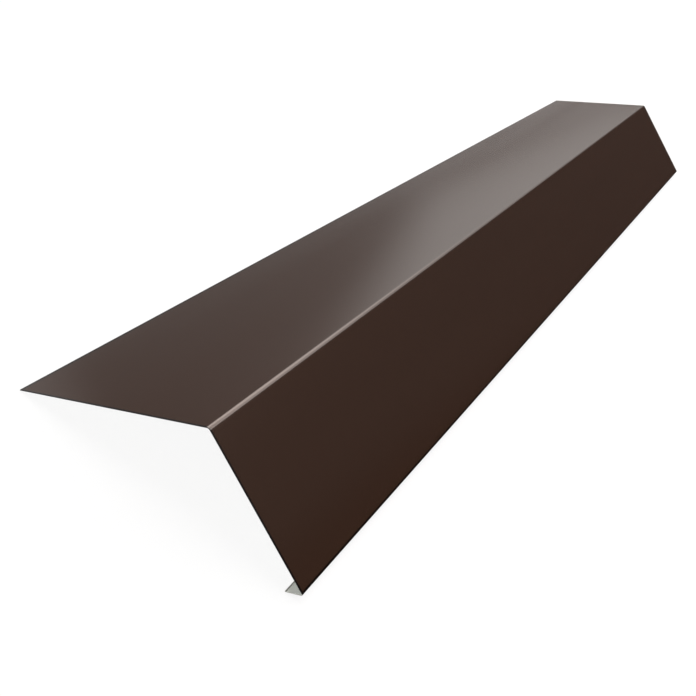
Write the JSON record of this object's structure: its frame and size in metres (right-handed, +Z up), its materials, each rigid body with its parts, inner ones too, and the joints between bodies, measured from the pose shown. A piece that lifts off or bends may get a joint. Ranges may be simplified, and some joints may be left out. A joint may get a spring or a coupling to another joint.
{
  "type": "drip edge flashing",
  "caption": "Long drip edge flashing: one painted sheet folded into a wide roof leg, a sloping face and a short kick turned back under the face.",
  "frame": {"origin": "on the floor it stands on, halfway along its length and midway between the lower fold and the roof leg's free edge", "axes": "+X along the length, -Y towards the face, +Y towards the roof leg, +Z up from the floor"},
  "size_m": [1, 0.1714, 0.0507],
  "materials": {
    "coil_coated_sheet": "semi-gloss brown coil coating"
  },
  "bodies": {
    "root": {"drip_edge": "coil_coated_sheet"}
  },
  "joints": []
}
